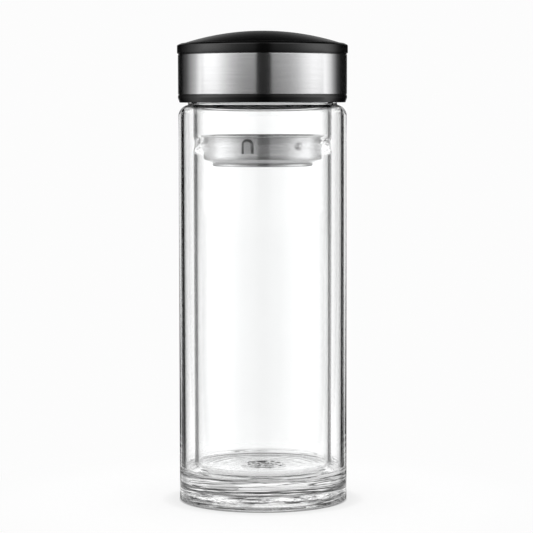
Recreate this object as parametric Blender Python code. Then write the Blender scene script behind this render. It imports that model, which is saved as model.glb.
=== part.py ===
"""Infuser water bottle: double-wall glass with a screw cap and a hanging steel infuser.

Metres, +Z up. The origin is the centre of the ring that the bottle stands on, and the
photographed front faces -Y. Every piece is turned about the Z axis, which is also the axis
of every joint.
"""

import math

import bmesh
import bpy
from mathutils import Matrix, Vector

# Faces round every turned piece, the same for all so that their flats line up
SEGMENTS = 48
CORNER_STEPS = 3
SHOULDER_STEPS = 4

# Gap that touching pieces keep, and the reach of a helper past what it cuts or joins
FIT_GAP = 0.0003
OVERRUN = 0.0004

# Outer glass
BODY_RADIUS = 0.0325
BODY_WALL = 0.0023
SHOULDER_Z = 0.1522
SHOULDER_WALL = 0.0018
SHOULDER_ROUND = 0.0036
CEILING_ROUND = 0.0021
BASE_THICKNESS = 0.0107
BASE_EDGE_ROUND = 0.0010
HOLLOW_FOOT_ROUND = 0.0030
STANDING_RING_WIDTH = 0.0045
PUSH_UP_DEPTH = 0.0012

# Inner glass
AIR_GAP = 0.0038
LINER_WALL = 0.0017
LINER_FLOOR_WALL = 0.0018
LINER_FLOOR_LIFT = 0.0005
LINER_FOOT_ROUND = 0.0040
SWIRL_RADIUS = 0.0075
SWIRL_HEIGHT = 0.0018
SWIRL_DISH = 0.0004
SWIRL_SHARES = ((1, 0), (0.75, 0.8), (0.45, 1))
MOUTH_LIP_THICKNESS = 0.0012
MOUTH_LIP_BREAK = 0.0003

# Ring ridge that the infuser hangs on, pressed inwards in the inner glass
RIDGE_DROP = 0.0144
RIDGE_DEPTH = 0.0012
RIDGE_UPPER_SPAN = 0.0032
RIDGE_LOWER_SPAN = 0.0050
RIDGE_GROOVE_DEPTH = 0.0006
RIDGE_STEPS = 3
SEAT_SAMPLES = 24

# Neck and thread
NECK_WALL = 0.0018
NECK_HEIGHT = 0.0135
NECK_BREAK = 0.0003
THREAD_STARTS = 2
THREAD_LEAD = 0.0060
THREAD_TURNS = 1.0
THREAD_DEPTH = 0.0011
THREAD_BASE_WIDTH = 0.0013
THREAD_CREST_WIDTH = 0.0005
THREAD_RISE = 0.0040
THREAD_CLEARANCE = 0.0003
THREAD_FADE_STEPS = 3

# Cap
CAP_HOVER = 0.0009
CAP_FLANGE_HEIGHT = 0.00295
CAP_FLANGE_BEVEL_DROP = 0.0018
CAP_FLANGE_BEVEL_WIDTH = 0.0008
CAP_TOP_WALL = 0.00165
BAND_WALL = 0.0005
RIM_PROUD = 0.0003
RIM_HEIGHT = 0.00355
RIM_WALL = 0.0006
RIM_EDGE_BREAK = 0.0003
RIM_SHELF_THICKNESS = 0.00235
RIM_SHELF_WIDTH = 0.0045
DOME_WALL = 0.0008
DOME_HEM = 0.0010
DOME_SKIRT_RISE = 0.0029
DOME_CROWN_RISE = 0.00225
DOME_BREAK_RADIUS = 0.0217
DOME_STEPS = 4
PLATE_SHEET = 0.0005
PLATE_SEAT_CLEARANCE = 0.0004
GASKET_THICKNESS = 0.0015
GASKET_OVERHANG = 0.0002
GASKET_BREAK = 0.0003

# Infuser
LIP_CLEARANCE = 0.0007
LIP_ROUND = 0.0007
LIP_FLARE = 0.00195
LIP_STEPS = 4
CUP_SHEET = 0.0005
CUP_WALL_HEIGHT = 0.0085
CUP_CORNER = 0.0010
CONE_HEIGHT = 0.0016
CONE_WIDTH = 0.00305
STRAINER_HEM = 0.0018
STRAINER_SHEET = 0.0003
STRAINER_HOLE_RADIUS = 0.0012
STRAINER_HOLE_PITCH = 0.0046
STRAINER_HOLE_SIDES = 6
HOLD_RING_SHEET = 0.0003
TONGUE_COUNT = 3
TONGUE_FIRST_DEG = -103.4
TONGUE_WIDTH = 0.0026
TONGUE_SLOT = 0.0008
TONGUE_WINDOW_HEIGHT = 0.0049
TONGUE_WINDOW_DROP = 0.0014
TONGUE_CLEARANCE = 0.0004
STUD_FIRST_DEG = -54.3
STUD_RADIUS = 0.0012
STUD_TIP_RADIUS = 0.0007
STUD_HEIGHT = 0.0006
STUD_SIDES = 12
STUD_DROP = 0.0032

# Sizes that follow from those above
hollow_radius = BODY_RADIUS - BODY_WALL
liner_radius = hollow_radius - AIR_GAP
liner_bore = liner_radius - LINER_WALL
liner_underside_z = BASE_THICKNESS + LINER_FLOOR_LIFT
liner_floor_z = liner_underside_z + LINER_FLOOR_WALL
ceiling_z = SHOULDER_Z - SHOULDER_WALL
ridge_z = SHOULDER_Z - RIDGE_DROP
neck_bore = liner_radius + FIT_GAP
neck_radius = neck_bore + NECK_WALL
neck_top_z = SHOULDER_Z + NECK_HEIGHT
mouth_lip_z = neck_top_z + FIT_GAP
mouth_top_z = mouth_lip_z + MOUTH_LIP_THICKNESS
thread_z = SHOULDER_Z + THREAD_RISE
thread_pitch = THREAD_LEAD / THREAD_STARTS

cap_bore = neck_radius + THREAD_DEPTH + THREAD_CLEARANCE
cap_z = SHOULDER_Z + CAP_HOVER
flange_top_z = cap_z + CAP_FLANGE_HEIGHT
gasket_z = mouth_top_z + FIT_GAP
plate_z = gasket_z + GASKET_THICKNESS + FIT_GAP
cap_ceiling_z = plate_z + PLATE_SHEET + FIT_GAP
cap_top_z = cap_ceiling_z + CAP_TOP_WALL
core_radius = BODY_RADIUS - BAND_WALL - FIT_GAP
rim_radius = BODY_RADIUS + RIM_PROUD
rim_z = cap_top_z + FIT_GAP
rim_top_z = rim_z + RIM_HEIGHT
rim_bore = rim_radius - RIM_WALL
shelf_z = rim_z + RIM_SHELF_THICKNESS
dome_radius = rim_bore - FIT_GAP
dome_hem_z = shelf_z + FIT_GAP
dome_edge_z = dome_hem_z + DOME_HEM
dome_break_z = dome_edge_z + DOME_SKIRT_RISE
dome_top_z = dome_break_z + DOME_CROWN_RISE

lip_radius = liner_bore - LIP_CLEARANCE
lip_centre = lip_radius - LIP_ROUND
cup_radius = lip_radius - LIP_FLARE
cup_bore = cup_radius - CUP_SHEET
foot_radius = cup_radius - CONE_WIDTH
hem_bore = foot_radius - STRAINER_HEM


def arc(centre_r, centre_z, radius, first_deg, last_deg, steps):
    """Points of an arc in the turning plane, from the first angle to the last."""
    points = []
    for step in range(steps + 1):
        angle = math.radians(first_deg + (last_deg - first_deg) * step / steps)
        points.append((centre_r + radius * math.cos(angle), centre_z + radius * math.sin(angle)))
    return points


def ridge_points(radius, depth, steps):
    """The smooth swell of the ring ridge on one face of the inner glass, from the top down."""
    points = []
    for step in range(-steps, steps + 1):
        share = step / steps
        span = RIDGE_UPPER_SPAN if step < 0 else RIDGE_LOWER_SPAN
        swell = depth * (0.5 + 0.5 * math.cos(math.pi * share))
        points.append((radius - swell, ridge_z - span * share))
    return points


def lip_seat_height():
    """Height of the lip's centre when its round underside stands a gap clear of the ridge."""
    reach = LIP_ROUND + FIT_GAP
    flank = ridge_points(liner_bore, RIDGE_DEPTH, RIDGE_STEPS)[: RIDGE_STEPS + 1]
    heights = []
    for (upper_r, upper_z), (lower_r, lower_z) in zip(flank, flank[1:]):
        for sample in range(SEAT_SAMPLES + 1):
            share = sample / SEAT_SAMPLES
            across = upper_r + (lower_r - upper_r) * share - lip_centre
            if abs(across) < reach:
                height = upper_z + (lower_z - upper_z) * share
                heights.append(height + math.sqrt(reach**2 - across**2))
    return max(heights)


lip_z = lip_seat_height()
cup_corner_z = lip_z - CUP_WALL_HEIGHT
hem_z = cup_corner_z - CONE_HEIGHT
strainer_z = hem_z - FIT_GAP - STRAINER_SHEET
hold_ring_z = strainer_z - FIT_GAP - HOLD_RING_SHEET


def clear_scene():
    for thing in list(bpy.data.objects):
        bpy.data.objects.remove(thing, do_unlink=True)


def finish_of(name, colour, roughness, metallic, transmission=0.0):
    """A Principled material with the colour and finish seen in the photograph."""
    material = bpy.data.materials.new(name)
    material.use_nodes = True
    shader = material.node_tree.nodes["Principled BSDF"]
    shader.inputs["Base Color"].default_value = (*colour, 1.0)
    shader.inputs["Roughness"].default_value = roughness
    shader.inputs["Metallic"].default_value = metallic
    shader.inputs["Transmission Weight"].default_value = transmission
    material.diffuse_color = (*colour, 1.0)
    return material


def object_from(name, mesh_builder, material=None):
    """A named object holding the bmesh's geometry, shaded smooth with its real edges sharp."""
    bmesh.ops.recalc_face_normals(mesh_builder, faces=mesh_builder.faces)
    mesh = bpy.data.meshes.new(name)
    mesh_builder.to_mesh(mesh)
    mesh_builder.free()
    mesh.shade_smooth()
    mesh.set_sharp_from_angle(angle=math.radians(30))
    piece = bpy.data.objects.new(name, mesh)
    bpy.context.scene.collection.objects.link(piece)
    if material:
        mesh.materials.append(material)
    return piece


def turned(name, outline, material):
    """Turns a closed outline of (radius, height) points about the Z axis."""
    work = bmesh.new()
    corners = [work.verts.new((radius, 0, height)) for radius, height in outline]
    edges = []
    for first, second in zip(corners, corners[1:] + corners[:1]):
        on_axis = first.co.x == 0 and second.co.x == 0
        if not on_axis:
            edges.append(work.edges.new((first, second)))
    bmesh.ops.spin(
        work,
        geom=corners + edges,
        cent=(0, 0, 0),
        axis=(0, 0, 1),
        angle=math.tau,
        steps=SEGMENTS,
        use_merge=True,
    )
    bmesh.ops.remove_doubles(work, verts=work.verts, dist=FIT_GAP / SEGMENTS)
    return object_from(name, work, material)


def helper(name, mesh_builder):
    """A shape that only cuts or joins, left out of renders."""
    shape = object_from(name, mesh_builder)
    shape.hide_render = True
    shape.display_type = "WIRE"
    return shape


def combine(piece, operation, shape):
    """Cuts the helper's shape from the piece, or joins it on."""
    modifier = piece.modifiers.new(shape.name, "BOOLEAN")
    modifier.operation = operation
    modifier.solver = "EXACT"
    modifier.object = shape


def thread_ridges(name, surface, crest, first_z):
    """One ridge for each start, rooted inside the wall and fading out at both ends."""
    work = bmesh.new()
    into_wall = OVERRUN if crest < surface else -OVERRUN
    root = surface + into_wall
    faded = surface + into_wall / 2
    steps = round(SEGMENTS * THREAD_TURNS)
    for start in range(THREAD_STARTS):
        sections = []
        for step in range(steps + 1):
            fade = min(step, steps - step, THREAD_FADE_STEPS) / THREAD_FADE_STEPS
            tip = faded + (crest - faded) * fade
            angle = math.tau * (step / SEGMENTS + start / THREAD_STARTS)
            height = first_z + THREAD_LEAD * step / SEGMENTS
            section = []
            for radius, half_width in (
                (root, -THREAD_BASE_WIDTH / 2),
                (tip, -THREAD_CREST_WIDTH / 2),
                (tip, THREAD_CREST_WIDTH / 2),
                (root, THREAD_BASE_WIDTH / 2),
            ):
                place = (radius * math.cos(angle), radius * math.sin(angle), height + half_width)
                section.append(work.verts.new(place))
            sections.append(section)
        work.faces.new(sections[0])
        work.faces.new(sections[-1])
        for near, far in zip(sections, sections[1:]):
            for corner in range(4):
                work.faces.new((near[corner - 1], near[corner], far[corner], far[corner - 1]))
    return helper(name, work)


def glass_jacket(material):
    """Outer tube with its shoulder, the threaded neck and the thick solid base."""
    shoulder_round = min(SHOULDER_ROUND, BODY_RADIUS - neck_radius - FIT_GAP)
    push_up_radius = BODY_RADIUS - BASE_EDGE_ROUND - STANDING_RING_WIDTH
    outline = []
    for step in range(CORNER_STEPS + 1):
        share = step / CORNER_STEPS
        outline.append((push_up_radius * share, PUSH_UP_DEPTH * (1 - share**2)))
    outline += arc(
        BODY_RADIUS - BASE_EDGE_ROUND, BASE_EDGE_ROUND, BASE_EDGE_ROUND, -90, 0, CORNER_STEPS
    )
    outline += arc(
        BODY_RADIUS - shoulder_round,
        SHOULDER_Z - shoulder_round,
        shoulder_round,
        0,
        90,
        SHOULDER_STEPS,
    )
    outline += [
        (neck_radius, SHOULDER_Z),
        (neck_radius, neck_top_z - NECK_BREAK),
        (neck_radius - NECK_BREAK, neck_top_z),
        (neck_bore, neck_top_z),
        (neck_bore, ceiling_z),
    ]
    outline += arc(
        hollow_radius - CEILING_ROUND, ceiling_z - CEILING_ROUND, CEILING_ROUND, 90, 0, CORNER_STEPS
    )
    outline += arc(
        hollow_radius - HOLLOW_FOOT_ROUND,
        BASE_THICKNESS + HOLLOW_FOOT_ROUND,
        HOLLOW_FOOT_ROUND,
        0,
        -90,
        CORNER_STEPS,
    )
    outline.append((0, BASE_THICKNESS))
    jacket = turned("glass_jacket", outline, material)
    ridges = thread_ridges("neck_thread", neck_radius, neck_radius + THREAD_DEPTH, thread_z)
    combine(jacket, "UNION", ridges)
    return jacket


def glass_liner(material):
    """Inner tube with the ring ridge, a rounded floor with its closing swirl, and the mouth lip."""
    outline = [(0, liner_underside_z)]
    outline += arc(
        liner_radius - LINER_FOOT_ROUND,
        liner_underside_z + LINER_FOOT_ROUND,
        LINER_FOOT_ROUND,
        -90,
        0,
        CORNER_STEPS,
    )
    outline += reversed(ridge_points(liner_radius, RIDGE_GROOVE_DEPTH, RIDGE_STEPS))
    outline += [
        (liner_radius, mouth_lip_z),
        (neck_radius - MOUTH_LIP_BREAK, mouth_lip_z),
        (neck_radius, mouth_lip_z + MOUTH_LIP_BREAK),
        (neck_radius, mouth_top_z - MOUTH_LIP_BREAK),
        (neck_radius - MOUTH_LIP_BREAK, mouth_top_z),
        (liner_bore + MOUTH_LIP_BREAK, mouth_top_z),
        (liner_bore, mouth_top_z - MOUTH_LIP_BREAK),
    ]
    outline += ridge_points(liner_bore, RIDGE_DEPTH, RIDGE_STEPS)
    inner_foot_round = LINER_FOOT_ROUND - LINER_WALL
    outline += arc(
        liner_bore - inner_foot_round,
        liner_floor_z + inner_foot_round,
        inner_foot_round,
        0,
        -90,
        CORNER_STEPS,
    )
    for out_share, up_share in SWIRL_SHARES:
        outline.append((SWIRL_RADIUS * out_share, liner_floor_z + SWIRL_HEIGHT * up_share))
    outline.append((0, liner_floor_z + SWIRL_HEIGHT - SWIRL_DISH))
    return turned("glass_liner", outline, material)


def cap_core(material):
    """Plastic body of the cap: the lower black ring is its flange, and the thread is inside it."""
    outline = [
        (cap_bore, cap_z),
        (BODY_RADIUS - CAP_FLANGE_BEVEL_WIDTH, cap_z),
        (BODY_RADIUS, cap_z + CAP_FLANGE_BEVEL_DROP),
        (BODY_RADIUS, flange_top_z),
        (core_radius, flange_top_z),
        (core_radius, cap_top_z),
        (0, cap_top_z),
        (0, cap_ceiling_z),
        (cap_bore, cap_ceiling_z),
    ]
    core = turned("cap_core", outline, material)
    ridges = thread_ridges("cap_thread", cap_bore, cap_bore - THREAD_DEPTH, thread_z - thread_pitch / 2)
    combine(core, "UNION", ridges)
    return core


def cap_band(material):
    """Brushed steel sleeve between the two black rings."""
    outline = [
        (BODY_RADIUS, flange_top_z + FIT_GAP),
        (BODY_RADIUS, cap_top_z),
        (BODY_RADIUS - BAND_WALL, cap_top_z),
        (BODY_RADIUS - BAND_WALL, flange_top_z + FIT_GAP),
    ]
    return turned("cap_band", outline, material)


def cap_rim(material):
    """Upper black ring, with the shelf that the dome's hem stands on."""
    outline = [
        (rim_radius, rim_z),
        (rim_radius, rim_top_z - RIM_EDGE_BREAK),
        (rim_radius - RIM_EDGE_BREAK, rim_top_z),
        (rim_bore, rim_top_z),
        (rim_bore, shelf_z),
        (rim_bore - RIM_SHELF_WIDTH, shelf_z),
        (rim_bore - RIM_SHELF_WIDTH, rim_z),
    ]
    return turned("cap_rim", outline, material)


def dome_outline(drop):
    """The dome's upper face from its edge to its centre, lowered by its wall's thickness or none."""
    points = [(dome_radius - drop, dome_edge_z - drop)]
    for step in range(DOME_STEPS + 1):
        share = 1 - step / DOME_STEPS
        points.append((DOME_BREAK_RADIUS * share, dome_top_z - drop - DOME_CROWN_RISE * share**2))
    return points


def cap_dome(material):
    """Low domed black top, with its hem turned down inside the upper ring."""
    outline = [(dome_radius, dome_hem_z)]
    outline += dome_outline(0)
    outline += reversed(dome_outline(DOME_WALL))
    outline.append((dome_radius - DOME_WALL, dome_hem_z))
    return turned("cap_dome", outline, material)


def cap_inner_plate(material):
    """Thin steel plate against the cap's ceiling, which backs the gasket."""
    edge = cap_bore - PLATE_SEAT_CLEARANCE
    outline = [
        (0, plate_z),
        (edge, plate_z),
        (edge, plate_z + PLATE_SHEET),
        (0, plate_z + PLATE_SHEET),
    ]
    return turned("cap_inner_plate", outline, material)


def cap_gasket(material):
    """Silicone ring that seals on the glass mouth."""
    inner = liner_bore + GASKET_OVERHANG
    outer = neck_radius + GASKET_OVERHANG
    top = gasket_z + GASKET_THICKNESS
    outline = [
        (inner + GASKET_BREAK, gasket_z),
        (outer - GASKET_BREAK, gasket_z),
        (outer, gasket_z + GASKET_BREAK),
        (outer, top),
        (inner, top),
        (inner, gasket_z + GASKET_BREAK),
    ]
    return turned("cap_gasket", outline, material)


def about_axis(degrees):
    """Turns a shape that was built towards +X to the given direction about the Z axis."""
    return Matrix.Rotation(math.radians(degrees), 4, "Z")


def add_box(work, low, high, placement):
    """Adds a closed box between two corners, then moves it with the placement."""
    size = Vector(high) - Vector(low)
    centre = (Vector(high) + Vector(low)) / 2
    stretch = Matrix.Diagonal((*size, 1))
    bmesh.ops.create_cube(work, size=1, matrix=placement @ Matrix.Translation(centre) @ stretch)


def tongue_shapes():
    """The window round each spring tongue, and the tongue leaning out from the window's foot."""
    windows = bmesh.new()
    tongues = bmesh.new()
    half_window = TONGUE_WIDTH / 2 + TONGUE_SLOT
    window_top = lip_z - TONGUE_WINDOW_DROP
    window_foot = window_top - TONGUE_WINDOW_HEIGHT
    root_r = cup_radius - CUP_SHEET / 2
    root_z = window_foot - TONGUE_SLOT
    length = TONGUE_WINDOW_HEIGHT
    tip_reach = liner_bore - RIDGE_DEPTH - TONGUE_CLEARANCE
    tip_face = math.sqrt(tip_reach**2 - (TONGUE_WIDTH / 2) ** 2)
    lean = math.asin((tip_face - CUP_SHEET / 2 - root_r) / length)
    for tongue in range(TONGUE_COUNT):
        facing = about_axis(TONGUE_FIRST_DEG + 360 * tongue / TONGUE_COUNT)
        add_box(
            windows,
            (cup_bore - OVERRUN, -half_window, window_foot),
            (cup_radius + OVERRUN, half_window, window_top),
            facing,
        )
        tilt = Matrix.Translation((root_r, 0, root_z)) @ Matrix.Rotation(lean, 4, "Y")
        add_box(
            tongues,
            (-CUP_SHEET / 2, -TONGUE_WIDTH / 2, 0),
            (CUP_SHEET / 2, TONGUE_WIDTH / 2, length),
            facing @ tilt,
        )
        depth = CUP_SHEET / 2 + STUD_HEIGHT
        outwards = Matrix.Translation((root_r + depth / 2, 0, lip_z - STUD_DROP))
        outwards @= Matrix.Rotation(math.radians(90), 4, "Y")
        bmesh.ops.create_cone(
            tongues,
            cap_ends=True,
            segments=STUD_SIDES,
            radius1=STUD_RADIUS,
            radius2=STUD_TIP_RADIUS,
            depth=depth,
            matrix=about_axis(STUD_FIRST_DEG + 360 * tongue / TONGUE_COUNT) @ outwards,
        )
    return helper("tongue_windows", windows), helper("tongues_and_studs", tongues)


def infuser_cup(material):
    """Pressed steel cup: rolled lip, straight wall, cone, and the hem over the strainer."""
    outline = arc(lip_centre, lip_z, LIP_ROUND, -150, 120, LIP_STEPS)
    outline += [
        (cup_bore, lip_z - LIP_ROUND),
        (cup_bore, cup_corner_z + CUP_CORNER / 2),
        (foot_radius - CUP_SHEET, hem_z + CUP_SHEET),
        (hem_bore, hem_z + CUP_SHEET),
        (hem_bore, hem_z),
        (foot_radius, hem_z),
        (cup_radius - CUP_CORNER / 2, cup_corner_z),
        (cup_radius, cup_corner_z + CUP_CORNER),
        (cup_radius, lip_z - LIP_ROUND),
    ]
    cup = turned("infuser_cup", outline, material)
    windows, tongues = tongue_shapes()
    combine(cup, "DIFFERENCE", windows)
    combine(cup, "UNION", tongues)
    return cup


def infuser_mesh(material):
    """Strainer disc, pierced all over with holes in rows."""
    edge = foot_radius - HOLD_RING_SHEET - FIT_GAP
    outline = [
        (0, strainer_z),
        (edge, strainer_z),
        (edge, strainer_z + STRAINER_SHEET),
        (0, strainer_z + STRAINER_SHEET),
    ]
    disc = turned("infuser_mesh", outline, material)
    holes = bmesh.new()
    row_step = STRAINER_HOLE_PITCH * math.sqrt(3) / 2
    reach = hem_bore - STRAINER_HOLE_RADIUS
    rows = math.floor(reach / row_step)
    for row in range(-rows, rows + 1):
        shift = STRAINER_HOLE_PITCH / 2 if row % 2 else 0
        columns = math.ceil(reach / STRAINER_HOLE_PITCH)
        for column in range(-columns - 1, columns + 1):
            place = Vector((column * STRAINER_HOLE_PITCH + shift, row * row_step, 0))
            if place.length < reach:
                place.z = strainer_z + STRAINER_SHEET / 2
                bmesh.ops.create_cone(
                    holes,
                    cap_ends=True,
                    segments=STRAINER_HOLE_SIDES,
                    radius1=STRAINER_HOLE_RADIUS,
                    radius2=STRAINER_HOLE_RADIUS,
                    depth=STRAINER_SHEET + 2 * OVERRUN,
                    matrix=Matrix.Translation(place),
                )
    combine(disc, "DIFFERENCE", helper("strainer_holes", holes))
    return disc


def infuser_mesh_ring(material):
    """Ring under the strainer disc that holds it up against the cup's hem."""
    outline = [
        (hem_bore, hold_ring_z),
        (foot_radius - HOLD_RING_SHEET, hold_ring_z),
        (foot_radius, hold_ring_z + HOLD_RING_SHEET),
        (foot_radius, hem_z - FIT_GAP),
        (foot_radius - HOLD_RING_SHEET, hem_z - FIT_GAP),
        (foot_radius - HOLD_RING_SHEET, hold_ring_z + HOLD_RING_SHEET),
        (hem_bore, hold_ring_z + HOLD_RING_SHEET),
    ]
    return turned("infuser_mesh_ring", outline, material)


def carried_by(name, height, pieces):
    """An empty on the Z axis that the moving pieces are parented to, without moving them."""
    axis = bpy.data.objects.new(name, None)
    axis.location = (0, 0, height)
    bpy.context.scene.collection.objects.link(axis)
    for piece in pieces:
        piece.parent = axis
        piece.matrix_parent_inverse = Matrix.Translation((0, 0, -height))


def build():
    clear_scene()
    glass = finish_of("clear_glass", (0.95, 0.97, 0.97), 0.02, 0.0, 1.0)
    black = finish_of("black_plastic", (0.012, 0.012, 0.013), 0.35, 0.0)
    brushed = finish_of("brushed_steel", (0.62, 0.61, 0.60), 0.30, 1.0)
    polished = finish_of("polished_steel", (0.58, 0.58, 0.59), 0.22, 1.0)
    satin = finish_of("satin_steel", (0.55, 0.55, 0.56), 0.33, 1.0)
    silicone = finish_of("clear_silicone", (0.80, 0.80, 0.79), 0.55, 0.0)

    glass_jacket(glass)
    glass_liner(glass)
    turning = [
        cap_core(black),
        cap_band(brushed),
        cap_rim(black),
        cap_dome(black),
        cap_inner_plate(polished),
    ]
    carried_by("cap_turn_axis", cap_z, turning)
    carried_by("cap_lift_axis", gasket_z, [cap_gasket(silicone)])
    hanging = [infuser_cup(satin), infuser_mesh(satin), infuser_mesh_ring(satin)]
    carried_by("infuser_lift_axis", lip_z, hanging)


build()
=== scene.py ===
"""Looks for the infuser water bottle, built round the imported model.

Outlines are in millimetres and materials in metres, with +Z up as in the CAD.
The photographed front faces -Y.
"""

import math

import bmesh
import bpy
import numpy as np
from mathutils import Matrix, Vector


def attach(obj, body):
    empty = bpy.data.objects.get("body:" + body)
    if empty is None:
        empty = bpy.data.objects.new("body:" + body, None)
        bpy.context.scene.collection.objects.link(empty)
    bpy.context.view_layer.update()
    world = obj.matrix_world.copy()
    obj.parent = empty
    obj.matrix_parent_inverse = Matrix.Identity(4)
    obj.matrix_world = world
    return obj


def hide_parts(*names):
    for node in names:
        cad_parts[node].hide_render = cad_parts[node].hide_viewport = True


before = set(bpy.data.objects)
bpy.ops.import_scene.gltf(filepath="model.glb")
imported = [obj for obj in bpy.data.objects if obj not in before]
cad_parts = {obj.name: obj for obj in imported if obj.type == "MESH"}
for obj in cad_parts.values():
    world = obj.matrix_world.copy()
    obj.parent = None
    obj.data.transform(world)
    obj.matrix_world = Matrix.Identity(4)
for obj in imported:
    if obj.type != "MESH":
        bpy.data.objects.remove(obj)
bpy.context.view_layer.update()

MM = 0.001
TURN_STEPS = 256
ARC_STEP = math.radians(9)

# How near a point is that counts as on a face, and the width over which waves fade out
ON_FACE = 0.01
SOFT_EDGE = 3.0

# Sizes of the glass, near the CAD's and fitted to the photograph's outline
BODY_R = 32.22
HOLLOW_R = 30.2
LINER_R = 26.7
BORE_R = 25.2
NECK_R = 28.5
NECK_FOOT_Z = 155.0
NECK_TOP_Z = 166.0
MOUTH_Z = 167.2
SHOULDER_Z = 152.2
SHOULDER_ROUND = 4.4
SHOULDER_STEPS = 12
SHOULDER_STEP = math.radians(7)
CEILING_Z = 151.05
CEILING_ROUND = 3.0

# The thick base, its shallow push-up and the waves in its surfaces
BASE_Z = 10.7
BASE_ROUND = 3.0
FOOT_R = 31.4
FOOT_ROUND = 1.1
FOOT_WAVE = 0.0015
FOOT_SIDE_Z = 2.0
FOOT_TOP_Z = 18.0
WAVES_TOP_Z = 17.0
WAVES_FADE = 4.0
PUNT = 0.9
PUNT_R = 27.6
PUNT_FLAT_R = 21.8
PUNT_STEPS = 80
WAVY_R = 27.0

# The inner glass, its ridge and the swirl in the middle of its floor
LINER_UNDER_Z = 11.2
LINER_UNDER_R = 22.0
LINER_ROUND = 4.0
FLOOR_Z = 13.0
FLOOR_ROUND = 2.3
SWIRL_FOOT_R = 9.6
SWIRL_R = 9.3
SWIRL_STEP = 0.4
RIDGE_Z = 137.8
RIDGE_UP = 3.2
RIDGE_DOWN = 5.0
RIDGE_FROM_Z = 131.0
RIDGE_TO_Z = 145.0
BORE_RIDGE = 0.8
LINER_RIDGE = 0.55

# Which of the glass's faces are its underside, its heel and its inside
UNDERSIDE_Z = 1.9
HEEL_R = 31.0
INSIDE_R = 32.0
INSIDE_NECK_R = 28.7
INSIDE_NECK_Z = 150.0

# The two-start thread: where it starts, and half its width and its depth on glass and cap
THREAD_Z = 156.2
THREAD_LEAD = 6.0
THREAD_FADE = 0.45
NECK_THREAD = (1.0, 1.05)
CAP_THREAD = (0.75, 1.0)

# The cap, from its flange up to the dome
CAP_Z = 153.05
CAP_BORE_R = 29.9
CAP_BORE_FOOT_Z = 153.6
CAP_BORE_TOP_Z = 166.0
CAP_CEILING_Z = 170.1
CAP_TOP_Z = 171.68
FLANGE_FOOT_R = 31.75
FLANGE_SIDE_Z = 154.75
FLANGE_TOP_Z = 155.72
COLLAR_R = 32.2
SEAT_R = 31.93
SEAT_FOOT_Z = 155.97
SEAT_TOP_Z = 171.4
BAND_R = 32.35
BAND_INNER_R = 31.98
BAND_FOOT_Z = 156.05
BAND_TOP_Z = 171.34
RIM_R = 32.66
RIM_INNER_R = 27.7
RIM_SHELF_R = 30.3
RIM_SHELF_Z = 174.4
RIM_FOOT_Z = 171.76
RIM_TOP_Z = 174.9
DOME_R = 29.9
DOME_SPHERE_R = 98.0
DOME_WALL = 0.9
DOME_FOOT_Z = 174.45
DOME_TOP_Z = 180.4
DOME_STEPS = 24

# The infuser's bowl, with its tongues and studs a third of a turn apart
CUP_R = 22.62
CUP_SHEET = 0.5
CUP_STEPS = 480
CUP_CORNER_Z = 131.5
CUP_INNER_CORNER_Z = 131.85
CUP_WALL_Z = 133.0
LIP_R = 23.7
LIP_ROUND = 0.42
LIP_STEPS = 16
LIP_Z = 140.3
HEM_Z = 129.92
HEM_R = 19.15
HEM_INNER_R = 17.2
TONGUE_DEG = -104.0
TONGUE_LEAN = 1.15
SLOT_HALF = 2.25
SLOT_WIDTH = 0.95
SLOT_TOP = 139.45
SLOT_FOOT = 133.85
SLOT_STEPS = 16
SLOT_REACH = (20.0, 25.0)
STUD_DEG = -54.8
STUD_Z = 136.55
STUD_R = 1.2
STUD_HEIGHT = 0.9
GROOVE_AT = 1.2
GROOVE_HALF = 0.25
GROOVE_DEPTH = 0.2

# Which of the bowl's faces are its inside, which get a darker copy of the steel as painted shade
BOWL_INSIDE_R = 21.0
BOWL_INSIDE_Z = 132.2

# The strainer's wire cloth and the folded ring that holds it
CLOTH_PITCH = 0.8
CLOTH_R = 17.9
CLOTH_Z = 129.47
WIRE_R = 0.11
WIRE_SIDES = 5
RING_R = 19.25
RING_FOLD_R = 18.6
RING_Z = 128.78
RING_FOLD_Z = 129.2
RING_TOP_Z = 129.86


def rounded(corners, closed=True):
    """An outline's points, with each (radius, height, rounding) corner turned into an arc."""
    points = []
    count = len(corners)
    for index, corner in enumerate(corners):
        here = Vector(corner[:2])
        rounding = corner[2] if len(corner) > 2 else 0
        at_end = not closed and index in (0, count - 1)
        if rounding == 0 or at_end:
            points.append(tuple(here))
            continue
        to_last = (Vector(corners[index - 1][:2]) - here).normalized()
        to_next = (Vector(corners[(index + 1) % count][:2]) - here).normalized()
        opening = to_last.angle(to_next)
        reach = rounding / math.tan(opening / 2)
        centre = here + (to_last + to_next).normalized() * rounding / math.sin(opening / 2)
        first = here + to_last * reach - centre
        last = here + to_next * reach - centre
        sweep = math.atan2(first.cross(last), first.dot(last))
        steps = max(2, math.ceil(abs(sweep) / ARC_STEP))
        for step in range(steps + 1):
            arm = first.copy()
            arm.rotate(Matrix.Rotation(sweep * step / steps, 2))
            points.append(tuple(centre + arm))
    return points


def finely(points, spacing):
    """The same outline with no two neighbours further apart than the spacing."""
    filled = [points[0]]
    for near, far in zip(points, points[1:]):
        steps = max(1, math.ceil(math.dist(near, far) / spacing))
        for step in range(1, steps + 1):
            share = step / steps
            filled.append(tuple(a + (b - a) * share for a, b in zip(near, far)))
    return filled


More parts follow.
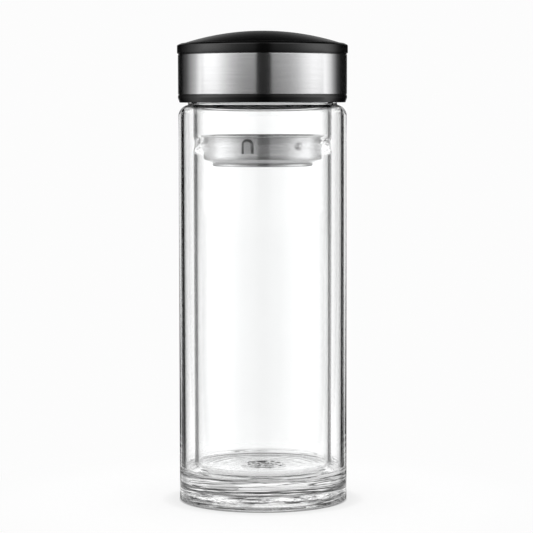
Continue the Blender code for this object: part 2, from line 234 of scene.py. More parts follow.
def lathe_data(outline, steps=TURN_STEPS, shape=None):
    """Vertices and faces of an outline turned about Z. It ends on the axis or closes on itself."""
    outline = np.array(outline, float)
    on_axis = outline[0][0] == 0 and outline[-1][0] == 0
    angles = np.arange(steps) * math.tau / steps
    verts, rings = [], []
    for radius, height in outline:
        if radius == 0:
            drop = shape(np.zeros(1), np.zeros(1), np.full(1, height))[1][0] if shape else 0
            rings.append([len(verts)])
            verts.append((0, 0, height + drop))
            continue
        r = np.full(steps, radius)
        z = np.full(steps, height)
        if shape:
            out, up = shape(angles, r, z)
            r = r + out
            z = z + up
        rings.append(list(range(len(verts), len(verts) + steps)))
        verts += list(zip(r * np.cos(angles), r * np.sin(angles), z))
    faces = []
    pairs = list(zip(rings, rings[1:]))
    if not on_axis:
        pairs.append((rings[-1], rings[0]))
    for lower, upper in pairs:
        for step in range(steps):
            after = (step + 1) % steps
            if len(lower) == 1:
                faces.append((lower[0], upper[after], upper[step]))
            elif len(upper) == 1:
                faces.append((lower[step], lower[after], upper[0]))
            else:
                faces.append((lower[step], lower[after], upper[after], upper[step]))
    return verts, faces


def piece_from(name, parts, material, body, replaced, sharp=40):
    """One named piece from lists of vertices and faces in millimetres, riding on its body."""
    verts, faces = [], []
    for part_verts, part_faces in parts:
        start = len(verts)
        verts += [tuple(c * MM for c in v) for v in part_verts]
        faces += [tuple(start + i for i in f) for f in part_faces]
    mesh = bpy.data.meshes.new(name)
    mesh.from_pydata(verts, [], faces)
    mesh.shade_smooth()
    if sharp:
        mesh.set_sharp_from_angle(angle=math.radians(sharp))
    mesh.materials.append(material)
    piece = bpy.data.objects.new(name, mesh)
    bpy.context.scene.collection.objects.link(piece)
    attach(piece, body)
    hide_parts(*replaced)
    return piece


# Materials


class Nodes:
    """Short calls for building a node tree."""

    def __init__(self, tree):
        self.tree = tree

    def add(self, kind, values=None, **settings):
        node = self.tree.nodes.new(kind)
        for key, value in settings.items():
            setattr(node, key, value)
        for key, value in (values or {}).items():
            if isinstance(value, bpy.types.NodeSocket):
                self.link(value, node.inputs[key])
            else:
                node.inputs[key].default_value = value
        return node

    def link(self, output, entry):
        self.tree.links.new(output, entry)

    def math(self, operation, *values, clamp=False):
        node = self.add("ShaderNodeMath", dict(enumerate(values)), operation=operation)
        node.use_clamp = clamp
        return node.outputs[0]

    def times(self, first, second):
        return self.math("MULTIPLY", first, second)

    def plus(self, first, second):
        return self.math("ADD", first, second)

    def minus(self, first, second, clamp=False):
        return self.math("SUBTRACT", first, second, clamp=clamp)

    def off(self, value, centre):
        """How far a value is from a centre, either way."""
        return self.math("ABSOLUTE", self.minus(value, centre))

    def mix(self, factor, first, second):
        values = {0: factor, "A": first, "B": second}
        return self.add("ShaderNodeMix", values, data_type="FLOAT").outputs[0]

    def smooth(self, value, low, high, to_low=0.0, to_high=1.0):
        """Goes smoothly from one level to another while a value goes from low to high."""
        values = {"Value": value, "From Min": low, "From Max": high, "To Min": to_low, "To Max": to_high}
        return self.add("ShaderNodeMapRange", values, interpolation_type="SMOOTHSTEP").outputs["Result"]

    def smooth_angle(self, angle, low, high, to_low=0.0, to_high=1.0):
        """The same for an angle in radians, with its low and high in degrees."""
        return self.smooth(angle, math.radians(low), math.radians(high), to_low, to_high)

    def band(self, value, start, full, fading, end):
        """1 while a value is between full and fading, and 0 before its start and past its end."""
        return self.times(self.smooth(value, start, full), self.smooth(value, fading, end, 1.0, 0.0))

    def noise(self, vector, scale, detail=2.0, roughness=0.5):
        values = {"Vector": vector, "Scale": scale, "Detail": detail, "Roughness": roughness}
        return self.add("ShaderNodeTexNoise", values).outputs[0]

    def curve(self, value, stops, interpolation="EASE"):
        """A level for a value between 0 and 1, by (value, level) stops."""
        node = self.add("ShaderNodeValToRGB", {0: value})
        ramp = node.color_ramp
        ramp.interpolation = interpolation
        ramp.elements.remove(ramp.elements[1])
        ramp.elements[0].position = stops[0][0]
        ramp.elements[0].color = (stops[0][1],) * 3 + (1,)
        for place, level in stops[1:]:
            ramp.elements.new(place).color = (level, level, level, 1)
        return node.outputs[0]

    def place(self):
        """The point in the object's own space."""
        return self.add("ShaderNodeTexCoord").outputs["Object"]

    def stretched(self, *scale):
        """The point in the object's own space, scaled along each axis."""
        return self.add("ShaderNodeMapping", {"Vector": self.place(), "Scale": scale}).outputs[0]

    def axes(self, vector):
        return self.add("ShaderNodeSeparateXYZ", {0: vector}).outputs

    def vector(self, operation, *values):
        return self.add("ShaderNodeVectorMath", dict(enumerate(values)), operation=operation).outputs

    def facing(self):
        """0 where the surface is looked at squarely, and 1 along it."""
        return self.add("ShaderNodeLayerWeight", {"Blend": 0.5}).outputs["Facing"]

    def colour(self, level, tint):
        """A tint at a level."""
        channels = {index: self.times(level, share) for index, share in enumerate(tint)}
        return self.add("ShaderNodeCombineColor", channels).outputs[0]

    def bump(self, height, strength, distance, under=None):
        """Relief in the surface, over an earlier relief where one is given."""
        values = {"Height": height, "Strength": strength, "Distance": distance}
        if under is not None:
            values["Normal"] = under
        return self.add("ShaderNodeBump", values).outputs[0]


def new_material(name):
    material = bpy.data.materials.new(name)
    material.use_nodes = True
    nodes = Nodes(material.node_tree)
    shader = material.node_tree.nodes["Principled BSDF"]
    return material, nodes, shader


def set_shader(nodes, shader, values):
    """Sets each input of the shader, or links it where the value comes from a node."""
    for name, value in values.items():
        if isinstance(value, bpy.types.NodeSocket):
            nodes.link(value, shader.inputs[name])
        else:
            shader.inputs[name].default_value = value


# Where the glass's relief strokes and its painted shade lie, in metres: start, full, fading and end
STROKES_R = (0.0168, 0.0176, 0.0222, 0.0232)
NECK_SHADE_Z = (0.15105, 0.15125, 0.1523, 0.15245)
SHADE_STREAKS_Z = (0.0008, 0.002, 0.0125, 0.0150)
ARC_Z = 0.0059
ARC_SWAY = 0.0008
ARC_HALF = (0.00028, 0.0006)


def foot_relief(nodes):
    """Height of the fine strokes and rings moulded into the underside."""
    place = nodes.place()
    flat = nodes.vector("MULTIPLY", place, (1, 1, 0))[0]
    radius = nodes.vector("LENGTH", flat)["Value"]
    axes = nodes.axes(place)
    around = nodes.math("ARCTAN2", axes[1], axes[0])
    cloud = nodes.noise(flat, 160.0)
    strokes = nodes.math("SINE", nodes.plus(nodes.times(around, 135.0), nodes.times(cloud, 3.0)))
    strokes = nodes.times(strokes, nodes.band(radius, *STROKES_R))
    steps = nodes.math("SINE", nodes.plus(nodes.times(radius, 2600.0), nodes.times(cloud, 6.0)))
    strokes = nodes.times(strokes, nodes.times(nodes.plus(steps, 0.4), 0.16))
    rings = nodes.math("SINE", nodes.plus(nodes.times(radius, 1900.0), nodes.times(cloud, 9.0)))
    return nodes.plus(strokes, nodes.times(rings, 0.12))


def neck_painted_shade(nodes):
    """Painted shade: a dark line in the glass round the foot of the neck, where it is looked at along its
    surface.
    """
    line = nodes.band(nodes.axes(nodes.place())[2], *NECK_SHADE_Z)
    line = nodes.times(line, nodes.smooth(nodes.facing(), 0.2, 0.35))
    return nodes.mix(line, 1.0, 0.05)


def foot_streak_shade(nodes):
    """Painted shade in the thick foot of the glass: dark streaks and a dark arc that show all round."""
    z = nodes.axes(nodes.place())[2]
    lines = nodes.noise(nodes.stretched(0.35, 0.35, 15), 36.0, 2.5, 0.55)
    lines = nodes.math("MINIMUM", nodes.off(lines, 0.5), nodes.off(lines, 0.425))
    lines = nodes.smooth(lines, 0.009, 0.015, 0.02, 1.0)
    fine = nodes.noise(nodes.stretched(0.7, 0.7, 24), 60.0, 1.0)
    fine = nodes.smooth(nodes.off(fine, 0.42), 0.010, 0.017, 0.08, 1.0)
    broad = nodes.noise(nodes.stretched(1, 1, 9), 48.0, 1.0)
    broad = nodes.smooth(broad, 0.42, 0.48, 0.52, 1.0)
    tone = nodes.times(nodes.times(lines, fine), broad)
    cloud = nodes.noise(nodes.stretched(1, 1, 0), 70.0, 1.0)
    height = nodes.minus(z, nodes.times(cloud, ARC_SWAY))
    # Painted shade: a dark arc low in the foot, where the contact shadow shows through
    arc = nodes.smooth(nodes.off(height, ARC_Z), *ARC_HALF, 0.12, 1.0)
    return nodes.mix(nodes.band(z, *SHADE_STREAKS_Z), 1.0, nodes.times(tone, arc))


def glass_material(name, edge=None, relief=False, outside=False):
    """Clear glass, greyed as painted shade where an edge curve says so by how steeply it is looked at, and
    on the outside with painted shade at the neck and in the foot.
    """
    material, nodes, shader = new_material(name)
    tone = nodes.smooth(nodes.noise(nodes.place(), 30.0), 0.3, 0.7, 0.995, 1.0)
    if edge:
        # Painted shade from the edge curve, by how steeply the glass is looked at
        tone = nodes.times(nodes.curve(nodes.facing(), edge), tone)
    # On the outside, painted shade: a dark line at the foot of the neck, and dark streaks and an arc in
    # the foot
    if outside:
        tone = nodes.times(tone, neck_painted_shade(nodes))
        tone = nodes.times(tone, foot_streak_shade(nodes))
    normal = nodes.bump(nodes.noise(nodes.stretched(1, 1, 0.35), 55.0, 1.0), 0.001, 0.0001)
    if relief:
        normal = nodes.bump(foot_relief(nodes), 1.0, 0.00013, normal)
    values = {
        "Base Color": nodes.colour(tone, (0.998, 1.0, 1.0)),
        "Roughness": 0.0,
        "IOR": 1.47,
        "Transmission Weight": 1.0,
        "Normal": normal,
    }
    set_shader(nodes, shader, values)
    return material


def plastic_material(name, tint, roughness):
    """Moulded plastic with a faint grain."""
    material, nodes, shader = new_material(name)
    fleck = nodes.noise(nodes.place(), 900.0, 3.0)
    cloud = nodes.noise(nodes.place(), 60.0)
    patchy = nodes.times(cloud, fleck)
    values = {
        "Base Color": nodes.colour(nodes.smooth(cloud, 0.3, 0.7, 0.9, 1.1), tint),
        "Roughness": nodes.smooth(patchy, 0.1, 0.4, roughness * 0.92, roughness * 1.08),
        "Normal": nodes.bump(fleck, 0.05, 0.00004),
        "IOR": 1.5,
    }
    set_shader(nodes, shader, values)
    return material


def steel_material(name, tint, roughness, anisotropic, streak, metallic=1.0):
    """Steel brushed round the Z axis, in streaks that are long round it and fine along it."""
    material, nodes, shader = new_material(name)
    lines = nodes.noise(nodes.stretched(1, 1, streak), 60.0, 5.0, 0.7)
    cloud = nodes.noise(nodes.place(), 45.0)
    level = nodes.smooth(lines, 0.3, 0.7, 0.96, 1.035)
    level = nodes.times(level, nodes.smooth(cloud, 0.3, 0.7, 0.99, 1.01))
    values = {
        "Base Color": nodes.colour(level, tint),
        "Roughness": nodes.smooth(lines, 0.25, 0.75, roughness * 0.94, roughness * 1.06),
        "Metallic": metallic,
        "Anisotropic": anisotropic,
        "Anisotropic Rotation": 0.25,
        "Tangent": nodes.add("ShaderNodeTangent", direction_type="RADIAL", axis="Z").outputs[0],
    }
    set_shader(nodes, shader, values)
    return material


def silicone_material():
    """Matt, slightly translucent rubber."""
    material, nodes, shader = new_material("silicone_ring")
    cloud = nodes.smooth(nodes.noise(nodes.place(), 300.0), 0.3, 0.7, 0.74, 0.82)
    values = {
        "Base Color": nodes.colour(cloud, (1.0, 1.0, 0.98)),
        "Roughness": 0.5,
        "Subsurface Weight": 0.3,
        "Subsurface Radius": (0.002, 0.002, 0.002),
        "Subsurface Scale": 1.0,
        "Normal": nodes.bump(nodes.noise(nodes.place(), 1500.0), 0.1, 0.00004),
    }
    set_shader(nodes, shader, values)
    return material


# Painted shade: how the glass greys from where it is looked at squarely, at 0, to its silhouette, at 1,
# drawing the dark lines along the walls and the dark outline of the heel
JACKET_EDGE_SHADE = (
    (0.0, 1.0), (0.50, 1.0), (0.57, 0.9), (0.62, 0.6), (0.66, 0.42), (0.72, 0.5), (0.765, 1.0), (1.0, 1.0),
)
HEEL_EDGE_SHADE = ((0.0, 1.0), (0.16, 1.0), (0.28, 0.25), (1.0, 0.1))

glass_outside = glass_material("glass_outside", JACKET_EDGE_SHADE, outside=True)
glass_inside = glass_material("glass_inside")
glass_foot = glass_material("glass_foot", relief=True)
glass_heel = glass_material("glass_heel", HEEL_EDGE_SHADE)
black = plastic_material("black_satin", (0.0006, 0.0006, 0.00065), 0.2)
brushed = steel_material("band_brushed", (0.60, 0.60, 0.605), 0.235, 1.0, 44.0)
satin = steel_material("infuser_satin", (0.74, 0.74, 0.745), 0.26, 1.0, 28.0, 0.82)
# A darker copy of the satin steel, painted shade for the inside of the bowl
satin_shaded_inside = steel_material("infuser_satin_inside", (0.16, 0.16, 0.163), 0.35, 0.8, 28.0)
spun = steel_material("plate_spun", (0.58, 0.58, 0.59), 0.25, 0.5, 70.0)
silicone = silicone_material()


# Glass


def rising(distance, width):
    """0 up to an edge, and 1 from a width inside it."""
    return np.clip(distance / width, 0, 1)


def ridge_swell(z, depth):
    """How far the ring ridge stands in at a height, for one face of the inner glass."""
    share = np.where(z > RIDGE_Z, (z - RIDGE_Z) / RIDGE_UP, (RIDGE_Z - z) / RIDGE_DOWN)
    return np.where(np.abs(share) < 1, depth * (0.5 + 0.5 * np.cos(math.pi * share)), 0)


def thread_height(angles, z, first_z, half_width, depth):
    """Height of the two-start thread over the wall, fading out at both ends."""
    height = np.zeros_like(z)
    for start in (0, math.pi):
        for lap in (0, 1):
            along = angles - start + math.tau * lap
            inside = (along >= 0) & (along <= math.tau)
            fade = rising(np.minimum(along, math.tau - along), THREAD_FADE)
            fade = fade * fade * (3 - 2 * fade)
            off = np.abs(z - first_z - THREAD_LEAD * along / math.tau) / half_width
            bump = np.where(off < 1, 0.5 + 0.5 * np.cos(math.pi * np.clip(off, 0, 1) ** 1.3), 0)
            height = np.maximum(height, np.where(inside, depth * fade * bump, 0))
    return height


def swirl_rise(radius):
    """Height of the glass left by the blowpipe in the middle of the floor."""
    ring = 0.26 * math.exp(-(((radius - 7.2) / 0.7) ** 2))
    middle = 0.28 * math.exp(-(((radius - 3.0) / 0.9) ** 2))
    return (ring + middle) * min(1, (SWIRL_FOOT_R - radius) / 1.5)


def swirl_lobes(angles, r):
    """Unevenness of the blown swirl, which is not quite round."""
    lobes = 0.07 * np.sin(3 * angles + 0.9 * r) + 0.07 * np.sin(7 * angles - 1.4 * r + 1)
    lobes += 0.055 * np.sin(13 * angles + r)
    return lobes * rising(SWIRL_R - r, SOFT_EDGE) * rising(r, 2)


def underside_rings(angles, r):
    """Low rings in the push-up under the base."""
    rings = 0.05 * np.sin(math.tau * r / 13.0 + 0.5 * np.sin(3 * angles) + 0.4)
    rings += 0.012 * np.sin(math.tau * r / 4.6 + 0.8 * np.sin(5 * angles))
    return (rings - 0.03) * rising(r, SOFT_EDGE) * rising(WAVY_R - r, SOFT_EDGE)


def ripple(angles, r, z):
    """Unevenness of blown glass, between -1 and 1, round the bottle and along it."""
    first = np.sin(7 * angles + 1.9 * z) + np.sin(11 * angles - 2.7 * z + 0.7 * r)
    second = np.sin(17 * angles + 3.3 * z + 1.3 * r + 2) + np.sin(29 * angles - 1.1 * z + 4)
    return (first + second) / 4


def foot_waves(angles, z):
    """Waves left round the thick foot of the glass, between -1 and 1."""
    first = np.sin(math.tau * z / 1.9 + 1.6 * np.sin(3 * angles + 1) + 0.9 * np.sin(7 * angles + 2))
    second = np.sin(math.tau * z / 1.15 + 1.9 * np.sin(5 * angles) + 0.8 * np.sin(11 * angles + 1))
    return 0.6 * first + 0.4 * second


def outer_shape(angles, r, z):
    """How far the skin from the base up to the mouth and down to the floor moves out and up."""
    on_foot = (np.abs(r - BODY_R) < ON_FACE) & (z < FOOT_TOP_Z)
    fade = rising(z - FOOT_ROUND, 1.0) * rising(WAVES_TOP_Z - z, WAVES_FADE)
    out = np.where(on_foot, FOOT_WAVE * fade * (foot_waves(angles, z) - 1), 0)
    on_neck = np.abs(r - NECK_R) < ON_FACE
    out += np.where(on_neck, thread_height(angles, z, THREAD_Z, *NECK_THREAD), 0)
    on_bore = np.abs(r - BORE_R) < ON_FACE
    out -= np.where(on_bore, ridge_swell(z, BORE_RIDGE) * (1 + 0.06 * ripple(angles, r, 2 * z)), 0)
    up = np.where((r < SWIRL_R) & (z > BASE_Z), swirl_lobes(angles, r), 0)
    up += np.where((r < WAVY_R) & (z < FOOT_SIDE_Z), underside_rings(angles, r), 0)
    return out, up


def cavity_shape(angles, r, z):
    """How far the skin of the closed space between the two walls moves out and up."""
    on_liner = np.abs(r - LINER_R) < ON_FACE
    out = np.where(on_liner, -ridge_swell(z, LINER_RIDGE) * (1 + 0.12 * ripple(angles, r, 3 * z)), 0)
    on_base = (np.abs(z - BASE_Z) < ON_FACE) & (r < WAVY_R)
    wave = 0.035 * np.sin(math.tau * r / 6.2) + 0.05 * ripple(angles, r, 0.4 * r)
    up = np.where(on_base, (wave - 0.25) * rising(WAVY_R - r, SOFT_EDGE), 0)
    under_liner = (np.abs(z - LINER_UNDER_Z) < ON_FACE) & (r < LINER_UNDER_R)
    wave = 0.03 * np.sin(math.tau * r / 4.7 + 1) + 0.04 * ripple(angles, r, 0.5 * r + 2)
    up += np.where(under_liner, (wave + 0.2) * rising(LINER_UNDER_R - r, SOFT_EDGE), 0)
    return out, up


def base_outline():
    """From the middle of the push-up out over the standing ring and up the thick foot."""
    points = [(0, PUNT)]
    for step in range(1, PUNT_STEPS + 1):
        radius = PUNT_R * step / PUNT_STEPS
        share = min(1, max(0, (radius - PUNT_FLAT_R) / (PUNT_R - PUNT_FLAT_R)))
        points.append((radius, PUNT * (1 - share * share * (3 - 2 * share))))
    corner = [points[-1], (FOOT_R, 0, 0.1), (BODY_R, 0, FOOT_ROUND), (BODY_R, FOOT_SIDE_Z)]
    points += finely(rounded(corner, closed=False), 0.35)[1:]
    return points + finely([(BODY_R, FOOT_SIDE_Z), (BODY_R, FOOT_TOP_Z)], 0.2)[1:]


def neck_outline():
    """From the shoulder up the threaded neck, over the mouth and down into the bore."""
    points = []
    for step in range(SHOULDER_STEPS):
        angle = SHOULDER_STEP * step
        out = BODY_R - SHOULDER_ROUND + SHOULDER_ROUND * math.cos(angle)
        points.append((out, SHOULDER_Z - SHOULDER_ROUND + SHOULDER_ROUND * math.sin(angle)))
    points += [(NECK_R + 0.12, SHOULDER_Z - 0.01), (NECK_R + 0.02, SHOULDER_Z + 0.1)]
    points += [(NECK_R, SHOULDER_Z + 0.4), (NECK_R, NECK_FOOT_Z)]
    points += finely([(NECK_R, NECK_FOOT_Z), (NECK_R, NECK_TOP_Z)], 0.14)[1:]
    mouth = [(NECK_R, NECK_TOP_Z), (NECK_R, MOUTH_Z, 0.7), (BORE_R, MOUTH_Z, 0.9), (BORE_R, RIDGE_TO_Z)]
    return points + rounded(mouth, closed=False)[1:]


def bore_outline():
    """From the ridge down the inside wall and across the floor to the middle of the swirl."""
    points = finely([(BORE_R, RIDGE_TO_Z), (BORE_R, RIDGE_FROM_Z)], 0.25)[1:]
    floor = [(BORE_R, RIDGE_FROM_Z), (BORE_R, FLOOR_Z, FLOOR_ROUND), (SWIRL_FOOT_R, FLOOR_Z)]
    points += rounded(floor, closed=False)[1:-1] + [(SWIRL_FOOT_R, FLOOR_Z)]
    for step in range(1, round(SWIRL_FOOT_R / SWIRL_STEP)):
        radius = SWIRL_FOOT_R - SWIRL_STEP * step
        points.append((radius, FLOOR_Z + swirl_rise(radius)))
    return points + [(0, FLOOR_Z + swirl_rise(0))]


def cavity_outline():
    """The closed space between the walls, from under the liner up and back along the jacket."""
    points = finely([(0, LINER_UNDER_Z), (LINER_UNDER_R, LINER_UNDER_Z)], 0.5)
    heel = [points[-1], (LINER_R, LINER_UNDER_Z, LINER_ROUND), (LINER_R, RIDGE_FROM_Z)]
    points += rounded(heel, closed=False)[1:]
    points += finely([(LINER_R, RIDGE_FROM_Z), (LINER_R, RIDGE_TO_Z)], 0.25)[1:]
    jacket = [
        (LINER_R, RIDGE_TO_Z),
        (LINER_R, CEILING_Z, 0.6),
        (HOLLOW_R, CEILING_Z, CEILING_ROUND),
        (HOLLOW_R, BASE_Z, BASE_ROUND),
        (WAVY_R, BASE_Z),
    ]
    points += rounded(jacket, closed=False)[1:]
    return points + finely([(WAVY_R, BASE_Z), (0, BASE_Z)], 0.5)[1:]


def glass_bottle():
    outer = base_outline() + neck_outline() + bore_outline()
    skins = [lathe_data(outer, shape=outer_shape), lathe_data(cavity_outline(), shape=cavity_shape)]
    replaced = ("glass_jacket", "glass_liner")
    piece = piece_from("bottle_glass", skins, glass_outside, "bottle", replaced, sharp=0)
    for material in (glass_inside, glass_foot, glass_heel):
        piece.data.materials.append(material)
    inside, foot, heel = 1, 2, 3
    for face in piece.data.polygons:
        out = math.hypot(face.center.x, face.center.y) / MM
        up = face.center.z / MM
        if up < UNDERSIDE_Z:
            face.material_index = foot if out < HEEL_R else heel
        elif out < (INSIDE_NECK_R if up > INSIDE_NECK_Z else INSIDE_R):
            face.material_index = inside


# Cap


def cap_thread_shape(angles, r, z):
    """Raises the thread inwards from the bore of the cap's body."""
    ridge = thread_height(angles, z, THREAD_Z - THREAD_LEAD / 4, *CAP_THREAD)
    return -np.where(np.abs(r - CAP_BORE_R) < ON_FACE, ridge, 0), np.zeros_like(r)


def cap_body():
    """Black plastic: the flange below the steel band, the core behind it and the threaded bore."""
    ceiling = [(0, CAP_CEILING_Z), (CAP_BORE_R, CAP_CEILING_Z, 0.5), (CAP_BORE_R, CAP_BORE_TOP_Z)]
    core = [(0, CAP_CEILING_Z)] + rounded(ceiling, closed=False)[1:]
    core += finely([(CAP_BORE_R, CAP_BORE_TOP_Z), (CAP_BORE_R, CAP_BORE_FOOT_Z)], 0.2)[1:-1]
    outside = [
        (CAP_BORE_R, CAP_BORE_FOOT_Z),
        (CAP_BORE_R, CAP_Z, 0.15),
        (FLANGE_FOOT_R, CAP_Z, 0.25),
        (BAND_R, FLANGE_SIDE_Z, 0.5),
        (BAND_R, FLANGE_TOP_Z, 0.12),
        (COLLAR_R, FLANGE_TOP_Z),
        (COLLAR_R, SEAT_FOOT_Z),
        (SEAT_R, SEAT_FOOT_Z),
        (SEAT_R, SEAT_TOP_Z),
        (COLLAR_R, SEAT_TOP_Z),
        (COLLAR_R, CAP_TOP_Z),
        (0, CAP_TOP_Z),
    ]
    core += rounded(outside, closed=False)
    lathed = lathe_data(core, shape=cap_thread_shape)
    piece_from("cap_body", [lathed], black, "cap", ("cap_core",))


def cap_band():
    """Brushed steel sleeve round the core."""
    section = [
        (BAND_INNER_R, BAND_FOOT_Z),
        (BAND_R, BAND_FOOT_Z, 0.3),
        (BAND_R, BAND_TOP_Z, 0.3),
        (BAND_INNER_R, BAND_TOP_Z),
    ]
    lathed = lathe_data(rounded(section))
    piece_from("cap_steel_band", [lathed], brushed, "cap", ("cap_band",))


def cap_rim():
    """Black ring over the band, with a shelf that the dome stands on."""
    section = [
        (RIM_INNER_R, RIM_FOOT_Z),
        (RIM_R, RIM_FOOT_Z, 0.2),
        (RIM_R, RIM_TOP_Z, 0.5),
        (31.2, RIM_TOP_Z + 0.7, 0.8),
        (RIM_SHELF_R, RIM_TOP_Z + 0.8, 0.1),
        (RIM_SHELF_R, RIM_SHELF_Z),
        (RIM_INNER_R, RIM_SHELF_Z),
    ]
    lathed = lathe_data(rounded(section))
    piece_from("cap_upper_ring", [lathed], black, "cap", ("cap_rim",))


def dome_z(radius):
    """Height of the dome, which is part of a sphere."""
    return DOME_TOP_Z - DOME_SPHERE_R + math.sqrt(DOME_SPHERE_R**2 - radius**2)


def cap_dome():
    """Low black dome, open below, with a short skirt that stands in the rim."""
    radii = [DOME_R * step / DOME_STEPS for step in range(DOME_STEPS - 1, -1, -1)]
    top = [(radius, dome_z(radius)) for radius in radii]
    under = [(radius, height - DOME_WALL) for radius, height in reversed(top)]
    edge = [
        under[-1],
        (DOME_R - DOME_WALL, dome_z(DOME_R) - DOME_WALL, 0.1),
        (DOME_R - DOME_WALL, DOME_FOOT_Z),
        (DOME_R, DOME_FOOT_Z),
        (DOME_R, dome_z(DOME_R), 0.2),
        top[0],
    ]
    dome = under[:-1] + rounded(edge, closed=False) + top[1:]
    piece_from("cap_top_dome", [lathe_data(dome)], black, "cap", ("cap_dome",), sharp=50)


# Infuser


def off_angle(angles, first):
    """Distance in mm round the cup from the nearest of three features a third of a turn apart."""
    third = math.tau / 3
    return ((angles - math.radians(first) + third / 2) % third - third / 2) * CUP_R


def cup_shape(angles, r, z):
    """Leans the three spring tongues out of the wall, and swells the three studs."""
    side = off_angle(angles, TONGUE_DEG)
    arch_z = SLOT_TOP - SLOT_HALF
    reach = np.where(z > arch_z, np.hypot(side, z - arch_z), np.abs(side))
    on_tongue = rising(SLOT_HALF - 0.15 - reach, 0.45)
    out = on_tongue * TONGUE_LEAN * rising(z - SLOT_FOOT, SLOT_TOP - SLOT_FOOT) ** 1.25
    away = np.hypot(off_angle(angles, STUD_DEG), z - STUD_Z) / STUD_R
    out += STUD_HEIGHT * np.sqrt(np.clip(1 - away**2, 0, 1)) * np.clip(1.6 - away, 0, 1)
    off_groove = away - GROOVE_AT
    groove = GROOVE_DEPTH * (0.5 + 0.5 * np.cos(math.pi * off_groove / GROOVE_HALF))
    out -= np.where(np.abs(off_groove) < GROOVE_HALF, groove, 0)
    on_wall = (np.abs(r - CUP_R) < ON_FACE) | (np.abs(r - CUP_R + CUP_SHEET) < ON_FACE)
    return np.where(on_wall, out, 0), np.zeros_like(r)


def arch_points(half, backwards):
    """Upright arch of a half width, from its foot on one side round to its foot on the other."""
    points = [(half, SLOT_FOOT)]
    for step in range(SLOT_STEPS + 1):
        angle = math.pi * step / SLOT_STEPS
        points.append((half * math.cos(angle), SLOT_TOP - SLOT_HALF + half * math.sin(angle)))
    points.append((-half, SLOT_FOOT))
    return points[::-1] if backwards else points


def slot_cutter(degrees):
    """A solid arch that cuts the slot round one tongue."""
    around = arch_points(SLOT_HALF, False) + arch_points(SLOT_HALF - SLOT_WIDTH, True)
    turn = math.radians(degrees)
    verts = []
    for depth in SLOT_REACH:
        for side, up in around:
            x = depth * math.cos(turn) - side * math.sin(turn)
            y = depth * math.sin(turn) + side * math.cos(turn)
            verts.append((x * MM, y * MM, up * MM))
    count = len(around)
    faces = [tuple(range(count))[::-1], tuple(range(count, 2 * count))]
    for step in range(count):
        after = (step + 1) % count
        faces.append((step, after, count + after, count + step))
    mesh = bpy.data.meshes.new("slot_cutter")
    mesh.from_pydata(verts, [], faces)
    work = bmesh.new()
    work.from_mesh(mesh)
    bmesh.ops.recalc_face_normals(work, faces=work.faces)
    work.to_mesh(mesh)
    work.free()
    cutter = bpy.data.objects.new("slot_cutter", mesh)
    bpy.context.scene.collection.objects.link(cutter)
    return cutter


def carve(piece, cutters):
    """Cuts the cutters' shapes out of a piece and removes the cutters."""
    for cutter in cutters:
        cut = piece.modifiers.new("cut", "BOOLEAN")
        cut.operation = "DIFFERENCE"
        cut.solver = "EXACT"
        cut.object = cutter
    bpy.context.view_layer.update()
    depsgraph = bpy.context.evaluated_depsgraph_get()
    carved = bpy.data.meshes.new_from_object(piece.evaluated_get(depsgraph))
    carved.name = piece.data.name
    piece.modifiers.clear()
    piece.data = carved
    carved.shade_smooth()
    carved.set_sharp_from_angle(angle=math.radians(35))
    for cutter in cutters:
        bpy.data.objects.remove(cutter)


def bowl_outline():
    """From the hem up the outside, round the rolled lip and down the inside."""
    inner_r = CUP_R - CUP_SHEET
    inner_wall_z = CUP_WALL_Z - 0.2
    hem = [(HEM_INNER_R, HEM_Z), (HEM_R, HEM_Z, 0.12), (CUP_R, CUP_CORNER_Z, 1.0), (CUP_R, CUP_WALL_Z)]
    points = rounded(hem, closed=False)
    points += finely([(CUP_R, CUP_WALL_Z), (CUP_R, LIP_Z - 0.45)], 0.2)[1:]
    for step in range(1, LIP_STEPS + 1):
        angle = math.radians(-150 + 270 * step / LIP_STEPS)
        out = LIP_R - LIP_ROUND + LIP_ROUND * math.cos(angle)
        points.append((out, LIP_Z + LIP_ROUND * math.sin(angle)))
    throat = [(inner_r + 0.9, LIP_Z + 0.5), (inner_r, LIP_Z - 0.1, 0.6), (inner_r, LIP_Z - 0.8)]
    points += rounded(throat, closed=False)
    points += finely([(inner_r, LIP_Z - 0.8), (inner_r, inner_wall_z)], 0.2)[1:]
    bottom = [
        (inner_r, inner_wall_z),
        (inner_r, CUP_INNER_CORNER_Z, 0.6),
        (HEM_R - 0.2, HEM_Z + CUP_SHEET, 0.2),
        (HEM_INNER_R, HEM_Z + CUP_SHEET),
    ]
    return points + rounded(bottom, closed=False)[1:]


def infuser_bowl():
    lathed = lathe_data(bowl_outline(), steps=CUP_STEPS, shape=cup_shape)
    piece = piece_from("infuser_bowl", [lathed], satin, "infuser", ("infuser_cup",))
    carve(piece, [slot_cutter(TONGUE_DEG + 120 * step) for step in range(3)])
    # The inside faces get the darker steel, as painted shade
    piece.data.materials.append(satin_shaded_inside)
    for face in piece.data.polygons:
        out = math.hypot(face.center.x, face.center.y)
        outwards = face.normal.x * face.center.x + face.normal.y * face.center.y
        on_wall = out > BOWL_INSIDE_R * MM and face.center.z > BOWL_INSIDE_Z * MM
        if on_wall and outwards < -0.7 * out:
            face.material_index = 1


